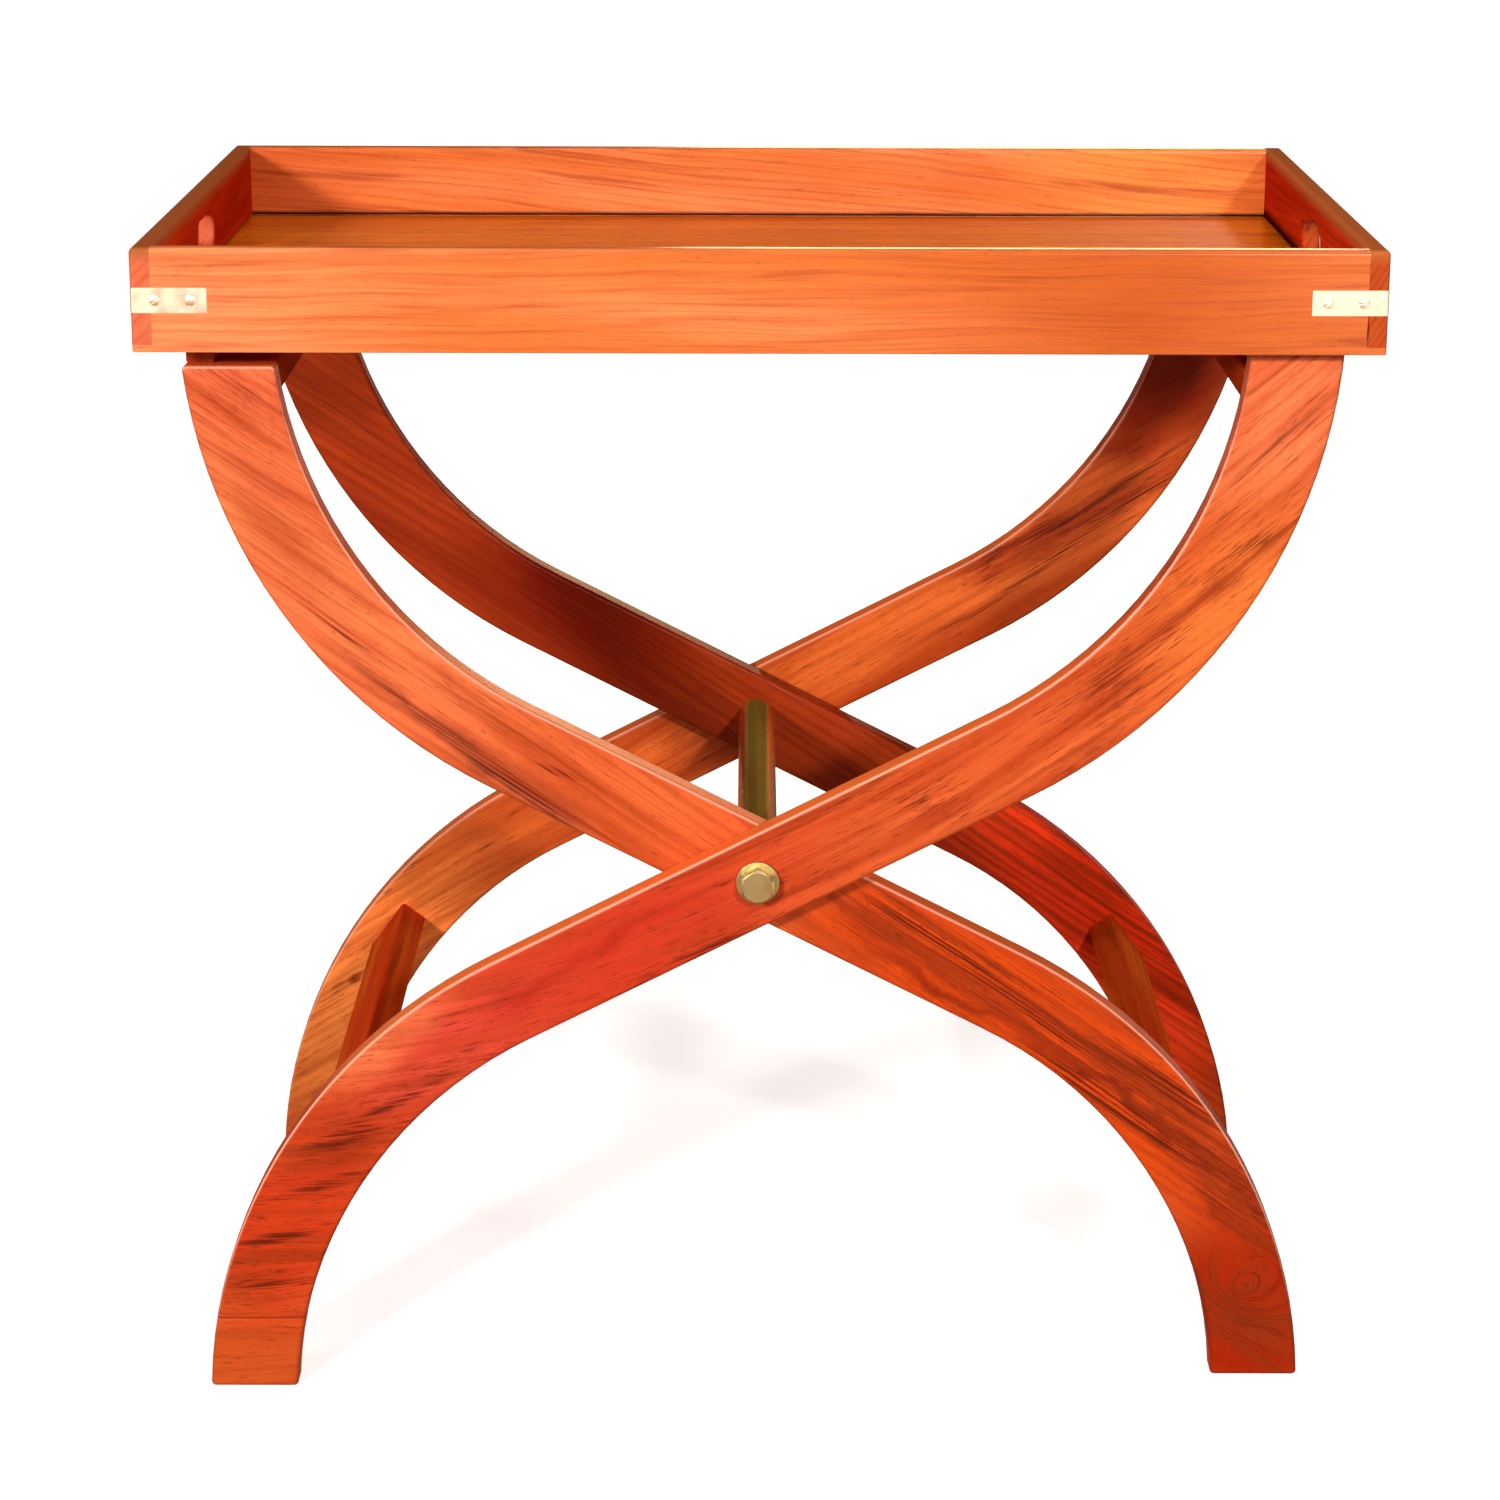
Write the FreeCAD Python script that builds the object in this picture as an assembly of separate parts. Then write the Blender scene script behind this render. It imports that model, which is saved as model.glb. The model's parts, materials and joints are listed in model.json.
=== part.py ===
import FreeCAD, Part
import math
import os

# A butlers tray table: a lift-off tray on a folding stand of S-curved legs.
# Frame: millimetres, +Z up, front towards -Y, origin on the floor under the middle of the tray.

# Tray boards
tray_length = 740.0
tray_depth = 494.0
wall_thickness = 12.0
wall_top_round = 3.0
wall_foot_round = 1.0
wall_corner_round = 1.5
corner_lip = 4.5

# Tray floor panel, held in a groove round the boards
floor_thickness = 8.0
floor_recess = 5.5
groove_depth = 5.0
groove_side_play = 0.3
groove_shadow = 1.5

# Hand-holes in the end boards, between the floor panel and the boards' tops
handle_length = 80.0
handle_height = 28.0
handle_round = 3.0
handle_above_floor = 3.5
handle_below_top = 17.0

# Brass corner straps and their screws
strap_width = 15.0
strap_reach = 45.0
strap_thickness = 1.5
strap_proud = 0.2
strap_edge_play = 0.05
strap_screw_from_corner = 14.5
strap_screw_from_end = 9.5
strap_screw_head = 6.4
strap_screw_head_depth = 2.0
strap_screw_shank = 3.0
strap_screw_cover = 2.2

# Slots and holes of all screws
screw_slot_width = 0.9
screw_slot_depth = 0.7
screw_slot_turn = 37.0
screw_play = 0.05

# Battens under the tray and their screws
batten_width = 17.0
batten_height = 23.0
batten_inset = 1.5
batten_end_setback = 14.0
batten_edge_round = 1.5
batten_screw_head = 8.0
batten_screw_head_depth = 2.6
batten_screw_shank = 4.0
batten_screw_cover = 3.0
batten_screw_end_margin = 60.0
batten_screw_count = 3

# S-curved legs: straight through the pivot, then a round bend up to vertical
pivot_height = 342.0
leg_slope = 27.1
leg_bend_radius = 309.5
leg_width = 56.0
leg_thickness = 20.0
leg_edge_round = 3.0
leg_gap = 1.0
leg_to_end_board = 6.6
leg_to_long_board = 19.0

# Top rails and lower stretchers, of one stock, joined to the legs with dowels
rail_width = 42.0
rail_thickness = 20.0
rail_edge_round = 2.0
rail_setback = 6.2
stretcher_bend_angle = 53.5
dowel_diameter = 8.0
dowel_from_edge = 11.0
dowel_cover = 8.0
dowel_in_rail = 18.0
dowel_play = 0.05
dowel_end_room = 0.5

# Pivot: one long bolt through all four legs, with a brass tube between the inner ones
bolt_diameter = 12.0
bolt_hole_play = 0.06
bolt_head_flats = 20.0
bolt_head_height = 10.0
bolt_tail = 3.0
nut_height = 10.0
hex_face_share = 0.95
washer_diameter = 27.0
washer_thickness = 2.5
washer_edge_round = 0.6
leg_washer_diameter = 32.0
leg_washer_play = 0.05
tube_diameter = 25.5
tube_wall = 2.25

# Heights and planes that several pieces share
seat_height = 2 * pivot_height
floor_top = seat_height + floor_thickness
handle_middle = floor_top + handle_above_floor + handle_height / 2
wall_foot = seat_height - floor_recess
wall_top = handle_middle + handle_height / 2 + handle_below_top
wall_height = wall_top - wall_foot
wall_middle = wall_foot + wall_height / 2
rail_top = seat_height - batten_height
half_length = tray_length / 2
half_depth = tray_depth / 2
half_leg = leg_width / 2
outer_face = half_depth - wall_thickness - leg_to_long_board
outer_inside = outer_face - leg_thickness
inner_face = outer_inside - leg_gap
inner_inside = inner_face - leg_thickness
leg_reach = half_length - wall_thickness - leg_to_end_board
touch_tolerance = 0.001
level = FreeCAD.Vector(0, 0, 1)
across = FreeCAD.Vector(0, 1, 0)


def vec(x, y, z):
    return FreeCAD.Vector(x, y, z)


def block(low, high):
    """Box between two opposite corners."""
    size = high - low
    return Part.makeBox(size.x, size.y, size.z, low)


def long_edges(shape, direction):
    """Straight edges of a shape that run along one direction."""
    found = []
    for edge in shape.Edges:
        run = edge.Vertexes[-1].Point - edge.Vertexes[0].Point
        if run.Length > 0 and abs(run.normalize().dot(direction)) > 0.999:
            found.append(edge)
    return found


def cylinder(radius, length, start, direction):
    return Part.makeCylinder(radius, length, start, direction)


# Legs


def bend_centre():
    """Centre of the upper bend, measured from the pivot, so that the upright end has the leg's reach."""
    slope = math.radians(leg_slope)
    x = leg_reach - half_leg - leg_bend_radius
    straight = (x + leg_bend_radius * math.sin(slope)) / math.cos(slope)
    z = straight * math.sin(slope) + leg_bend_radius * math.cos(slope)
    return vec(x, 0, z)


def bend_point(radius, angle):
    """Point of the upper bend where the leg has turned to this angle from the floor, in degrees."""
    turn = math.radians(angle - 90)
    return bend_centre() + vec(radius * math.cos(turn), 0, radius * math.sin(turn))


def side_at(height, offset):
    """Half-width of the stand at a height above the pivot, on a line beside the leg's middle."""
    radius = leg_bend_radius + offset
    centre = bend_centre()
    rise = max(min(centre.z - height, radius), 0)
    return centre.x + math.sqrt(radius ** 2 - rise ** 2)


def bend_edge(radius, outwards):
    ends = [leg_slope, (leg_slope + 90) / 2, 90]
    points = [bend_point(radius, angle) for angle in (ends if outwards else ends[::-1])]
    return Part.Arc(*points).toShape()


def half_outline():
    """Upper half of a leg's outline, from the straight's outer edge over the top to its inner edge."""
    run = vec(0, 0, pivot_height)
    outer_start = bend_point(leg_bend_radius + half_leg, leg_slope)
    outer_end = bend_point(leg_bend_radius + half_leg, 90)
    inner_end = bend_point(leg_bend_radius - half_leg, 90)
    inner_start = bend_point(leg_bend_radius - half_leg, leg_slope)
    edges = [bend_edge(leg_bend_radius + half_leg, True),
             Part.makeLine(outer_end, outer_end + run),
             Part.makeLine(outer_end + run, inner_end + run),
             Part.makeLine(inner_end + run, inner_end),
             bend_edge(leg_bend_radius - half_leg, False),
             Part.makeLine(inner_start, vec(0, 0, 0) - outer_start)]
    return edges


def make_leg(front, top_height, rises_right):
    """One leg: the S outline, point-symmetric about the pivot, cut level at floor and top."""
    lower_half = [edge.copy() for edge in half_outline()]
    for edge in lower_half:
        edge.rotate(vec(0, 0, 0), across, 180)
    wire = Part.Wire(Part.__sortEdges__(half_outline() + lower_half))
    leg = Part.Face(wire).extrude(across * leg_thickness)
    reach = bend_centre().x + leg_bend_radius + leg_width
    slab = block(vec(-reach, 0, -pivot_height), vec(reach, leg_thickness, top_height - pivot_height))
    leg = leg.common(slab).removeSplitter().Solids[0]
    box = leg.BoundBox
    rounded = []
    for edge in leg.Edges:
        bounds = edge.BoundBox
        flat_run = bounds.YLength < leg_thickness / 2
        at_end = bounds.ZMax < box.ZMin + leg_edge_round or bounds.ZMin > box.ZMax - leg_edge_round
        if flat_run or at_end:
            rounded.append(edge)
    leg = leg.makeFillet(leg_edge_round, rounded)
    if not rises_right:
        leg = leg.mirror(vec(0, 0, 0), vec(1, 0, 0))
    leg.translate(vec(0, front, pivot_height))
    bore = bolt_diameter / 2 + bolt_hole_play
    return leg.cut(cylinder(bore, leg_thickness, vec(0, front, pivot_height), across))


# Rails, stretchers and their dowels


def cross_bar(inside):
    """Rail stock lying flat, its middle at the origin, between two legs whose insides are this far out."""
    low = vec(-rail_width / 2, -inside, -rail_thickness / 2)
    bar = block(low, vec(0, 0, 0) - low)
    return bar.makeFillet(rail_edge_round, long_edges(bar, across))


def place_bar(shape, middle, tilt):
    """Turns a bar or its dowels about the bar's length and moves it to its place."""
    placed = shape.copy()
    placed.rotate(vec(0, 0, 0), across, -tilt)
    placed.translate(middle)
    return placed


def bar_dowels(inside, play, room):
    """The four dowels of one bar, or with play and room, the holes that take them."""
    rods = []
    from_middle = rail_width / 2 - dowel_from_edge
    length = dowel_in_rail + leg_thickness - dowel_cover + 2 * room
    for side in (-1, 1):
        for offset in (-from_middle, from_middle):
            start = vec(offset, side * (inside - dowel_in_rail - room), 0)
            rods.append(cylinder(dowel_diameter / 2 + play, length, start, across * side))
    return rods


def top_rail_middle(side):
    height = rail_top - rail_thickness / 2
    return vec(side * (side_at(height - pivot_height, 0) - rail_setback), 0, height)


def stretcher_middle(side):
    place = bend_point(leg_bend_radius, stretcher_bend_angle)
    return vec(side * place.x, 0, pivot_height - place.z)


def make_frame(face, inside, top_height, rises_right):
    """One frame of the stand: front leg, rear leg, top rail, lower stretcher and dowels."""
    top_side = 1 if rises_right else -1
    seats = [(top_rail_middle(top_side), 0.0),
             (stretcher_middle(-top_side), top_side * stretcher_bend_angle)]
    front_leg = make_leg(-face, top_height, rises_right)
    rear_leg = make_leg(inside, top_height, rises_right)
    bars = []
    dowels = []
    for middle, tilt in seats:
        holes = [place_bar(hole, middle, tilt) for hole in bar_dowels(inside, dowel_play, dowel_end_room)]
        front_leg = front_leg.cut(holes)
        rear_leg = rear_leg.cut(holes)
        bars.append(place_bar(cross_bar(inside), middle, tilt).cut(holes))
        dowels += [place_bar(dowel, middle, tilt) for dowel in bar_dowels(inside, 0, 0)]
    return front_leg, rear_leg, bars[0], bars[1], Part.makeCompound(dowels)


# Pivot hardware


def ring(outer, inner, thickness, start):
    return cylinder(outer, thickness, start, across).cut(cylinder(inner, thickness, start, across))


def hex_prism(height, front):
    """Hexagon with a corner upwards, its front end bevelled as a turned bar is."""
    flat = bolt_head_flats / 2
    corner = flat / math.cos(math.radians(30))
    points = []
    for index in range(7):
        turn = math.radians(60 * index)
        points.append(vec(corner * math.sin(turn), front, pivot_height + corner * math.cos(turn)))
    prism = Part.Face(Part.makePolygon(points)).extrude(across * height)
    small = flat * hex_face_share
    large = small + height / math.tan(math.radians(30))
    bevel = Part.makeCone(small, large, height, vec(0, front, pivot_height), across)
    return prism.common(bevel)


def make_pivot():
    """Bolt, nut, washers and spacer tube along the pivot's axis."""
    shank = bolt_diameter / 2
    bore = shank + bolt_hole_play
    washer_front = -outer_face - washer_thickness
    head_front = washer_front - bolt_head_height
    nut_front = outer_face + washer_thickness
    bolt_end = nut_front + nut_height + bolt_tail
    bolt = hex_prism(bolt_head_height, head_front)
    rod_start = vec(0, washer_front, pivot_height)
    bolt = bolt.fuse(cylinder(shank, bolt_end - washer_front, rod_start, across)).removeSplitter()
    nut = hex_prism(nut_height, 0)
    nut.rotate(vec(0, 0, pivot_height), level, 180)
    nut.translate(vec(0, nut_front + nut_height, 0))
    nut = nut.cut(cylinder(bore, nut_height, vec(0, nut_front, pivot_height), across))
    washers = []
    for front in (washer_front, outer_face):
        plain = cylinder(washer_diameter / 2, washer_thickness, vec(0, front, pivot_height), across)
        rims = [edge for edge in plain.Edges if isinstance(edge.Curve, Part.Circle)]
        plain = plain.makeFillet(washer_edge_round, rims)
        washers.append(plain.cut(cylinder(bore, washer_thickness, vec(0, front, pivot_height), across)))
    leg_washers = []
    for start in (-outer_inside, inner_face):
        place = vec(0, start + leg_washer_play, pivot_height)
        leg_washers.append(ring(leg_washer_diameter / 2, bore, leg_gap - 2 * leg_washer_play, place))
    tube_start = vec(0, -inner_inside, pivot_height)
    tube = ring(tube_diameter / 2, tube_diameter / 2 - tube_wall, 2 * inner_inside, tube_start)
    return bolt, nut, Part.makeCompound(washers), Part.makeCompound(leg_washers), tube


# Screws


def turned_screw(head, head_depth, shank, length, play):
    """Countersunk screw, head up at the origin and point down, grown by a play for its hole."""
    neck = shank / 2 + play
    outline = [(0, 0), (head / 2 + play, 0), (neck, -head_depth), (neck, -length + shank / 2),
               (0, -length - play), (0, 0)]
    points = [vec(x, 0, z) for x, z in outline]
    return Part.Face(Part.makePolygon(points)).revolve(vec(0, 0, 0), level, 360)


def slotted(screw, head, turn):
    corner = vec(head, screw_slot_width / 2, screw_slot_depth)
    slot = block(vec(0, 0, 0) - corner, corner)
    slot.rotate(vec(0, 0, 0), level, turn)
    return screw.cut(slot)


def aim(shape, place, outwards):
    """Turns a screw so that its head faces outwards, and puts the head at its place."""
    aimed = shape.copy()
    aimed.Placement = FreeCAD.Placement(place, FreeCAD.Rotation(level, outwards))
    return aimed


def strap_screw(play, turn):
    length = wall_thickness + strap_proud - strap_screw_cover
    screw = turned_screw(strap_screw_head, strap_screw_head_depth, strap_screw_shank, length, play)
    return screw if play else slotted(screw, strap_screw_head, turn)


def strap_screw_seats():
    """Places and directions of all strap screw heads, two on each face of each corner."""
    seats = []
    for x_side in (-1, 1):
        for y_side in (-1, 1):
            for along in (strap_screw_from_corner, strap_reach - strap_screw_from_end):
                on_board = vec(half_length - along, half_depth + strap_proud, wall_middle)
                on_end = vec(half_length + strap_proud, half_depth - along, wall_middle)
                for seat, outwards in ((on_board, vec(0, y_side, 0)), (on_end, vec(x_side, 0, 0))):
                    seats.append((vec(x_side * seat.x, y_side * seat.y, seat.z), outwards))
    return seats


def batten_screw(play, turn):
    length = batten_height + floor_thickness - batten_screw_cover
    screw = turned_screw(batten_screw_head, batten_screw_head_depth, batten_screw_shank, length, play)
    return screw if play else slotted(screw, batten_screw_head, turn)


def batten_middle(side):
    outer = side_at(rail_top - pivot_height, half_leg) - batten_inset
    return side * (outer - batten_width / 2)


def batten_screw_seats():
    seats = []
    half_run = inner_face - batten_end_setback - batten_screw_end_margin
    for side in (-1, 1):
        for index in range(batten_screw_count):
            y = -half_run + 2 * half_run * index / (batten_screw_count - 1)
            seats.append((vec(batten_middle(side), y, rail_top), vec(0, 0, -1)))
    return seats


# Tray


def tray_ring():
    """All four boards as one ring with its edges rounded, before it is divided at the corners."""
    corner = vec(half_length, half_depth, 0)
    outer = block(vec(0, 0, wall_foot) - corner, vec(0, 0, wall_top) + corner)
    outer = outer.makeFillet(wall_corner_round, long_edges(outer, level))
    inset = corner - vec(wall_thickness, wall_thickness, 0)
    ring_shape = outer.cut(block(vec(0, 0, wall_foot) - inset, vec(0, 0, wall_top) + inset))
    tops = [edge for edge in ring_shape.Edges if edge.BoundBox.ZMin > wall_top - wall_top_round]
    ring_shape = ring_shape.makeFillet(wall_top_round, tops)
    feet = [edge for edge in ring_shape.Edges if edge.BoundBox.ZMax < wall_foot + wall_foot_round]
    return ring_shape.makeFillet(wall_foot_round, feet)


def end_region(side):
    """Space of an end board: through to both long faces, but above the lips of the long boards."""
    inner = side * (half_length - wall_thickness)
    outer = side * (half_length + wall_thickness)
    reach = half_depth + wall_thickness
    between = half_depth - wall_thickness
    low_x, high_x = min(inner, outer), max(inner, outer)
    upper = block(vec(low_x, -reach, wall_foot + corner_lip), vec(high_x, reach, wall_top + wall_height))
    lower = block(vec(low_x, -between, wall_foot - wall_height), vec(high_x, between, wall_foot + corner_lip))
    return upper.fuse(lower).removeSplitter()


def hand_hole(side):
    """Slot with round ends through an end board."""
    radius = handle_height / 2
    straight = handle_length / 2 - radius
    run = 3 * wall_thickness
    start = side * (half_length - wall_thickness / 2) - run / 2
    slot = block(vec(start, -straight, handle_middle - radius),
                 vec(start + run, straight, handle_middle + radius))
    for end in (-straight, straight):
        slot = slot.fuse(cylinder(radius, run, vec(start, end, handle_middle), vec(1, 0, 0)))
    return slot.removeSplitter()


def floor_panel(side_play, top_play):
    """The panel, or with play, the groove that it sits in."""
    reach = vec(half_length - wall_thickness + groove_depth, half_depth - wall_thickness + groove_depth, 0)
    reach = reach - vec(groove_side_play - side_play, groove_side_play - side_play, 0)
    return block(vec(0, 0, seat_height) - reach, vec(0, 0, floor_top + top_play) + reach)


def corner_strap(x_side, y_side, play):
    """Flat strap bent round one corner, or with play, the recess that it is let into."""
    half = strap_width / 2 + play
    reach = strap_reach + play
    corner = vec(half_length + strap_proud, half_depth + strap_proud, 0)
    outer = block(vec(half_length - reach, half_depth - reach, wall_middle - half),
                  corner + vec(0, 0, wall_middle + half))
    bend = [edge for edge in long_edges(outer, level)
            if edge.CenterOfMass.x > half_length and edge.CenterOfMass.y > half_depth]
    outer = outer.makeFillet(wall_corner_round + strap_proud, bend)
    seat = corner - vec(strap_thickness, strap_thickness, 0)
    inner = block(vec(half_length - 2 * reach, half_depth - 2 * reach, wall_middle - wall_height),
                  seat + vec(0, 0, wall_middle + wall_height))
    strap = outer.cut(inner)
    if x_side < 0:
        strap = strap.mirror(vec(0, 0, 0), vec(1, 0, 0))
    if y_side < 0:
        strap = strap.mirror(vec(0, 0, 0), vec(0, 1, 0))
    return strap


def make_batten(side):
    middle = batten_middle(side)
    half_run = inner_face - batten_end_setback
    low = vec(middle - batten_width / 2, -half_run, rail_top)
    batten = block(low, vec(middle + batten_width / 2, half_run, seat_height))
    edges = long_edges(batten, across)
    lower = [edge for edge in edges if edge.CenterOfMass.z < rail_top + batten_edge_round]
    return batten.makeFillet(batten_edge_round, lower)


def end_board(ring_shape, region, side):
    """One end board with its hand-hole, the hole's rims rounded on both faces."""
    hole = hand_hole(side)
    board = ring_shape.common(region).cut(hole)
    rims = []
    for edge in board.Edges:
        on_face = edge.BoundBox.XLength < wall_thickness / 2
        if on_face and hole.isInside(edge.CenterOfMass, touch_tolerance, True):
            rims.append(edge)
    return board.makeFillet(handle_round, rims)


def make_tray():
    """All pieces of the tray by name."""
    ring_shape = tray_ring()
    ends = {-1: end_region(-1), 1: end_region(1)}
    boards = {"tray_left_end": end_board(ring_shape, ends[-1], -1),
              "tray_right_end": end_board(ring_shape, ends[1], 1)}
    long_boards = ring_shape.cut([ends[-1], ends[1]]).Solids
    long_boards.sort(key=lambda solid: solid.CenterOfMass.y)
    boards["tray_front_board"], boards["tray_rear_board"] = long_boards
    straps = {}
    recesses = []
    for y_name, y_side in (("front", -1), ("rear", 1)):
        for x_name, x_side in (("left", -1), ("right", 1)):
            straps[y_name + "_" + x_name + "_corner_strap"] = corner_strap(x_side, y_side, 0)
            recesses.append(corner_strap(x_side, y_side, strap_edge_play))
    strap_holes = [aim(strap_screw(screw_play, 0), *seat) for seat in strap_screw_seats()]
    cutters = [floor_panel(groove_side_play, groove_shadow)] + recesses + strap_holes
    pieces = {name: board.cut(cutters) for name, board in boards.items()}
    pieces.update({name: strap.cut(strap_holes) for name, strap in straps.items()})
    batten_holes = [aim(batten_screw(screw_play, 0), *seat) for seat in batten_screw_seats()]
    pieces["tray_floor_panel"] = floor_panel(0, 0).cut(batten_holes)
    pieces["tray_left_batten"] = make_batten(-1).cut(batten_holes)
    pieces["tray_right_batten"] = make_batten(1).cut(batten_holes)
    strap_screws = [aim(strap_screw(0, screw_slot_turn * index), *seat)
                    for index, seat in enumerate(strap_screw_seats())]
    batten_screws = [aim(batten_screw(0, screw_slot_turn * index), *seat)
                     for index, seat in enumerate(batten_screw_seats())]
    pieces["strap_screws"] = Part.makeCompound(strap_screws)
    pieces["batten_screws"] = Part.makeCompound(batten_screws)
    return pieces


def main():
    pieces = make_tray()
    outer = make_frame(outer_face, outer_inside, seat_height, True)
    inner = make_frame(inner_face, inner_inside, rail_top, False)
    kinds = ("front_leg", "rear_leg", "top_rail", "lower_stretcher", "frame_dowels")
    for frame_name, shapes in (("outer", outer), ("inner", inner)):
        for kind, shape in zip(kinds, shapes):
            pieces[frame_name + "_" + kind] = shape
    names = ("pivot_bolt", "pivot_nut", "bolt_washers", "leg_washers", "pivot_spacer_tube")
    pieces.update(zip(names, make_pivot()))
    os.makedirs("parts", exist_ok=True)
    for name, shape in pieces.items():
        shape.exportStep("parts/" + name + ".step")


main()
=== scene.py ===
"""Looks of a butlers tray table: varnished hardwood, brass fittings and a plain pale stage."""

import json
import math
from collections import namedtuple

import bpy
import numpy as np
from mathutils import Matrix, Vector


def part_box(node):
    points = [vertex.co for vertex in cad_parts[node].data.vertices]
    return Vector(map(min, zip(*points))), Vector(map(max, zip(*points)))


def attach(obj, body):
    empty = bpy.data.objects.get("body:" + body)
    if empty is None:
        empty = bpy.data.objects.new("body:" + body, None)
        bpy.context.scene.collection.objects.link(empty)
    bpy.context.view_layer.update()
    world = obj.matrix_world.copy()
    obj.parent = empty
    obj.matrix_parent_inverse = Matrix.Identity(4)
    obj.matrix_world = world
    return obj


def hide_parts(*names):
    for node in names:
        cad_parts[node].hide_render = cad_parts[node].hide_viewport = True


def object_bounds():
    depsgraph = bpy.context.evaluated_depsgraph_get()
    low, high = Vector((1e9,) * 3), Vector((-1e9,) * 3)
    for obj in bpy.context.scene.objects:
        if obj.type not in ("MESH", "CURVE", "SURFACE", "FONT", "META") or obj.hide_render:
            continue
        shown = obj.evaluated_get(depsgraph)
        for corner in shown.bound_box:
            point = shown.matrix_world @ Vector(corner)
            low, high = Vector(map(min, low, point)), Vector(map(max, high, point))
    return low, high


bl_info = {
    "name": "Butlers tray table",
    "version": (1, 0, 0),
    "blender": (4, 5, 0),
    "location": "View3D > Sidebar > Tray table",
    "description": "Dresses a butlers tray table in varnished wood and brass",
    "category": "Object",
}

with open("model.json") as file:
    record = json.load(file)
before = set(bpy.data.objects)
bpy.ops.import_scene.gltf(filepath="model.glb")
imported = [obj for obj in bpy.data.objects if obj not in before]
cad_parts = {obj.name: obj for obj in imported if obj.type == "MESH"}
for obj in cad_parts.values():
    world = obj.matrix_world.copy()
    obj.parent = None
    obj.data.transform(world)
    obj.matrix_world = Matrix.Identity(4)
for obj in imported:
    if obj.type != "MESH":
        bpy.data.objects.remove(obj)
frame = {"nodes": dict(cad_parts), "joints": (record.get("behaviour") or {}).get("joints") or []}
CAD_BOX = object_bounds()
NODES = frame["nodes"]
PIVOT_HEIGHT = next(joint for joint in frame["joints"] if joint["name"] == "stand_fold")["pos_m"][2]
STRAPS = ("front_left_corner_strap", "front_right_corner_strap", "rear_left_corner_strap",
          "rear_right_corner_strap")
MILLIMETRE = 0.001
WHITE = (1.0, 1.0, 1.0)
UP = Vector((0.0, 0.0, 1.0))


# Settings


def linear(hex_colour):
    """Linear colour of an sRGB hex value."""
    shares = [int(hex_colour[i:i + 2], 16) / 255 for i in (1, 3, 5)]
    return [s / 12.92 if s <= 0.04045 else ((s + 0.055) / 1.055) ** 2.4 for s in shares]


def colour_property(name, description, hex_colour):
    """Colour setting whose default is an sRGB hex value."""
    return bpy.props.FloatVectorProperty(name=name, description=description, subtype="COLOR", size=3,
                                         min=0, max=1, default=linear(hex_colour))


def length_property(name, description, millimetres):
    """Length setting in metres whose default is given in millimetres."""
    return bpy.props.FloatProperty(name=name, description=description, unit="LENGTH", subtype="DISTANCE",
                                   min=0, default=millimetres * MILLIMETRE)


def angle_property(name, description, degrees):
    """Angle setting in radians whose default is given in degrees."""
    return bpy.props.FloatProperty(name=name, description=description, subtype="ANGLE",
                                   default=math.radians(degrees))


def power_property(name, description, watts):
    """Power setting of a lamp."""
    return bpy.props.FloatProperty(name=name, description=description, unit="POWER", min=0, default=watts)


def share_property(name, description, share):
    """Setting between nothing and all."""
    return bpy.props.FloatProperty(name=name, description=description, subtype="FACTOR", min=0, max=1,
                                   default=share)


class TrayTableFinish(bpy.types.PropertyGroup):
    """Colours of the finishes."""

    tray_light: colour_property("Tray light", "Pale bands of the tray's long boards", "#f0844c")
    tray_deep: colour_property("Tray deep", "Deeper bands of the tray's long boards", "#e0702f")
    end_light: colour_property("End light", "Pale bands of the tray's end boards and battens", "#d4380f")
    end_deep: colour_property("End deep", "Deeper bands of the tray's end boards and battens", "#b22408")
    panel_light: colour_property("Panel light", "Pale bands of the tray's floor panel", "#ff8612")
    panel_deep: colour_property("Panel deep", "Deeper bands of the tray's floor panel", "#e66e0a")
    leg_light: colour_property("Leg light", "Pale bands of the front legs", "#e26430")
    leg_deep: colour_property("Leg deep", "Deeper bands of the front legs", "#bb4018")
    rear_light: colour_property("Rear leg light", "Pale bands of the rear outer leg", "#e46a2c")
    rear_deep: colour_property("Rear leg deep", "Deeper bands of the rear outer leg", "#b74417")
    stretcher_light: colour_property("Stretcher light", "Pale bands of the lower stretchers", "#e0601e")
    stretcher_deep: colour_property("Stretcher deep", "Deeper bands of the lower stretchers", "#cc3c12")
    dark_light: colour_property("Dark leg light", "Pale bands of the rear inner leg and rails", "#b23c12")
    dark_deep: colour_property("Dark leg deep", "Deeper bands of the rear inner leg and rails", "#902a0c")
    streak: colour_property("Streak", "Long thin mineral streaks", "#4a140b")
    pore: colour_property("Pore", "Short dark pores", "#6a220e")
    smudge: colour_property("Smudge", "Soft dark wood round the streaks", "#93300f")
    fibre: colour_property("Fibre", "Fine fibre lines", "#8c3415")
    sawn: colour_property("Sawn edge", "Wood cut across its grain", "#b3501f")
    # Painted light: the legs' upper sides are drawn paler, as if lit from above.
    painted_top_light: colour_property("Painted top light", "Painted light on the legs' upper sides", "#ff7a34")
    # Painted highlight: a pale line along the legs' upper arrises, where lamps would shine in the varnish.
    painted_arris_highlight: colour_property("Painted arris highlight", "Pale shine along the legs' upper arrises", "#ffb090")
    brass_bright: colour_property("Bright brass", "Polished corner straps and screws", "#f0cdb0")
    brass_aged: colour_property("Aged brass", "Pivot bolt, nut and washers", "#c2b27c")
    brass_tube: colour_property("Tube brass", "Spacer tube between the legs", "#e2cc78")


class TrayTableScrews(bpy.types.PropertyGroup):
    """Sizes of the round-headed screws in the corner straps."""

    radius: length_property("Radius", "Radius of a screw head", 3.3)
    dome: length_property("Dome", "Height of the head's dome above the strap", 0.55)
    slot_width: length_property("Slot width", "Width of the slot", 0.9)
    slot_depth: length_property("Slot depth", "Depth of the slot", 0.3)


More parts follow.
